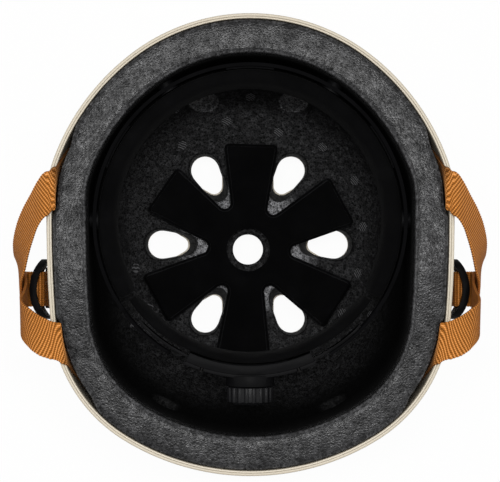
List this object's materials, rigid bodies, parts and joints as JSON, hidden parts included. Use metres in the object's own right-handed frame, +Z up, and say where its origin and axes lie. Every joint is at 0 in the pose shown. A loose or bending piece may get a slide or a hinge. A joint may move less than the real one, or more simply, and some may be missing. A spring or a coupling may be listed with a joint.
{
  "type": "skate helmet",
  "caption": "Child's skate helmet: cream shell with vents, black foam liner and pads, dial-adjusted head ring, orange webbing straps with a side-release buckle.",
  "frame": {"origin": "middle of the box on the floor below the crown", "axes": "+Z up, out of the head opening, as the helmet lies on its crown; +Y towards the wearer's brow; +X towards the wearer's left"},
  "size_m": [0.264, 0.2508, 0.1506],
  "materials": {
    "shell_lacquer": "satin cream lacquer on ABS",
    "foam": "moulded expanded polystyrene beads, black",
    "black_plastic": "moulded nylon, fine satin",
    "dial_plastic": "moulded acetal, satin",
    "spring_plastic": "natural acetal",
    "pad_fabric": "brushed jersey over foam",
    "hook_tape": "hook tape",
    "webbing": "ribbed woven nylon, orange brown",
    "steel": "plated steel",
    "rubber": "moulded rubber"
  },
  "bodies": {
    "helmet": {"outer_shell": "shell_lacquer", "foam_liner": "foam", "strap_rivets": "steel", "rivet_washers": "steel", "left_front_anchor_web": "webbing", "right_front_anchor_web": "webbing", "left_rear_anchor_web": "webbing", "right_rear_anchor_web": "webbing", "head_ring": "black_plastic", "ring_plugs": "black_plastic", "brow_pad": "pad_fabric", "nape_pad": "pad_fabric", "pad_hook_strips": "hook_tape", "crown_pad": "pad_fabric", "crown_hook_dots": "hook_tape", "dial_base": "black_plastic", "dial_cover": "black_plastic", "cover_screws": "steel", "click_spring": "spring_plastic"},
    "dial": {"dial_knob": "dial_plastic", "dial_pinion": "dial_plastic", "dial_screw": "steel"},
    "left_arm": {"left_rack_arm": "black_plastic"},
    "right_arm": {"right_rack_arm": "black_plastic"},
    "left_strap": {"left_front_strap": "webbing", "left_rear_strap": "webbing", "left_divider": "black_plastic", "left_chin_strap": "webbing"},
    "right_strap": {"right_front_strap": "webbing", "right_rear_strap": "webbing", "right_divider": "black_plastic", "right_chin_strap": "webbing"},
    "left_buckle": {"buckle_socket": "black_plastic"},
    "right_buckle": {"buckle_prongs": "black_plastic"},
    "keeper": {"strap_keeper": "rubber"}
  },
  "joints": [
    {"name": "dial_turn", "type": "hinge", "parent": "helmet", "child": "dial", "pos_m": [0, -0.084, 0.12], "axis": [0, 1, 0], "range_deg": [-90, 155]},
    {"name": "left_arm_slide", "type": "hinge", "parent": "helmet", "child": "left_arm", "pos_m": [0, 0.0133, 0.12], "axis": [0, 0, 1], "range_deg": [-10, 6]},
    {"name": "right_arm_slide", "type": "hinge", "parent": "helmet", "child": "right_arm", "pos_m": [0, 0.0133, 0.12], "axis": [0, 0, 1], "range_deg": [-6, 10]},
    {"name": "left_strap_swing", "type": "hinge", "parent": "helmet", "child": "left_strap", "pos_m": [0.10631, 0.02972, 0.14729], "axis": [-0.0486, -0.9986, 0.0208], "range_deg": [0, 175]},
    {"name": "right_strap_swing", "type": "hinge", "parent": "helmet", "child": "right_strap", "pos_m": [-0.10631, 0.02972, 0.14729], "axis": [-0.0486, 0.9986, -0.0208], "range_deg": [0, 175]},
    {"name": "left_buckle_swing", "type": "hinge", "parent": "left_strap", "child": "left_buckle", "pos_m": [0.1175, -0.0255, 0.0052], "axis": [0, 1, 0], "range_deg": [0, 35]},
    {"name": "right_buckle_swing", "type": "hinge", "parent": "right_strap", "child": "right_buckle", "pos_m": [-0.1175, -0.0255, 0.0052], "axis": [0, -1, 0], "range_deg": [0, 35]},
    {"name": "keeper_slide", "type": "slide", "parent": "right_strap", "child": "keeper", "axis": [0.0885, 0, 0.9961], "range_m": [-0.012, 0.012]}
  ],
  "couplings": [
    {"joint": "right_arm_slide", "follows": "dial_turn", "ratio": 0.060606},
    {"joint": "left_arm_slide", "follows": "dial_turn", "ratio": -0.059382}
  ]
}
